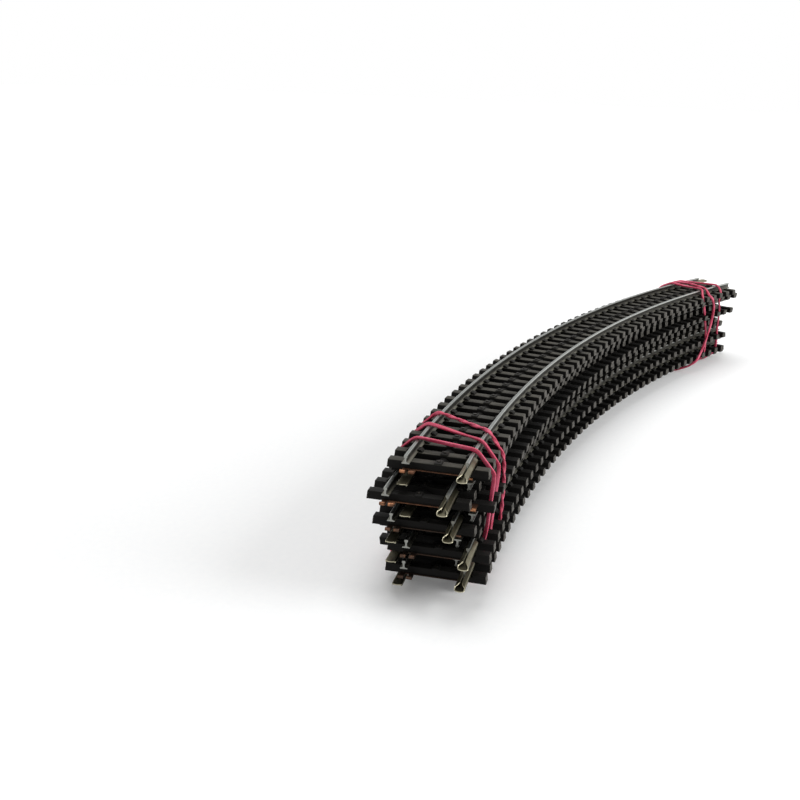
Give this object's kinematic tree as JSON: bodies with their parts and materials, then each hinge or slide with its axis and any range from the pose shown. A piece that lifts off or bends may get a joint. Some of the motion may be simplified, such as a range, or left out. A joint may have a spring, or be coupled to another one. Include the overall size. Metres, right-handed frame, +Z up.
{
  "type": "model track section",
  "caption": "Curved two-rail model railway track sections, stacked back to back in pairs and held near both ends by wound rubber bands.",
  "frame": {"origin": "on the surface that the stack stands on, below the middle of the whole bound stack", "axes": "+X along the track from the near end in the picture to the far end, +Y towards the outside of the curve, +Z up"},
  "size_m": [0.3436, 0.058, 0.0424],
  "materials": {
    "sleeper_plastic": "matte moulded, near black",
    "rail_steel": "drawn, bright on the head, dull on the web",
    "joiner_nickel": "pressed nickel silver sheet",
    "band_rubber": "matte, pink red"
  },
  "bodies": {
    "root": {"section_01_sleeper_bed": "sleeper_plastic", "section_01_outer_rail": "rail_steel", "section_01_inner_rail": "rail_steel", "section_01_outer_joiner": "joiner_nickel", "section_01_inner_joiner": "joiner_nickel", "section_02_sleeper_bed": "sleeper_plastic", "section_02_outer_rail": "rail_steel", "section_02_inner_rail": "rail_steel", "section_02_outer_joiner": "joiner_nickel", "section_02_inner_joiner": "joiner_nickel", "section_03_sleeper_bed": "sleeper_plastic", "section_03_outer_rail": "rail_steel", "section_03_inner_rail": "rail_steel", "section_03_outer_joiner": "joiner_nickel", "section_03_inner_joiner": "joiner_nickel", "section_04_sleeper_bed": "sleeper_plastic", "section_04_outer_rail": "rail_steel", "section_04_inner_rail": "rail_steel", "section_04_outer_joiner": "joiner_nickel", "section_04_inner_joiner": "joiner_nickel", "section_05_sleeper_bed": "sleeper_plastic", "section_05_outer_rail": "rail_steel", "section_05_inner_rail": "rail_steel", "section_05_outer_joiner": "joiner_nickel", "section_05_inner_joiner": "joiner_nickel", "section_06_sleeper_bed": "sleeper_plastic", "section_06_outer_rail": "rail_steel", "section_06_inner_rail": "rail_steel", "section_06_outer_joiner": "joiner_nickel", "section_06_inner_joiner": "joiner_nickel", "section_07_sleeper_bed": "sleeper_plastic", "section_07_outer_rail": "rail_steel", "section_07_inner_rail": "rail_steel", "section_07_outer_joiner": "joiner_nickel", "section_07_inner_joiner": "joiner_nickel", "section_08_sleeper_bed": "sleeper_plastic", "section_08_outer_rail": "rail_steel", "section_08_inner_rail": "rail_steel", "section_08_outer_joiner": "joiner_nickel", "section_08_inner_joiner": "joiner_nickel", "section_09_sleeper_bed": "sleeper_plastic", "section_09_outer_rail": "rail_steel", "section_09_inner_rail": "rail_steel", "section_09_outer_joiner": "joiner_nickel", "section_09_inner_joiner": "joiner_nickel", "section_10_sleeper_bed": "sleeper_plastic", "section_10_outer_rail": "rail_steel", "section_10_inner_rail": "rail_steel", "section_10_outer_joiner": "joiner_nickel", "section_10_inner_joiner": "joiner_nickel", "near_rubber_band": "band_rubber", "far_rubber_band": "band_rubber"}
  },
  "joints": []
}
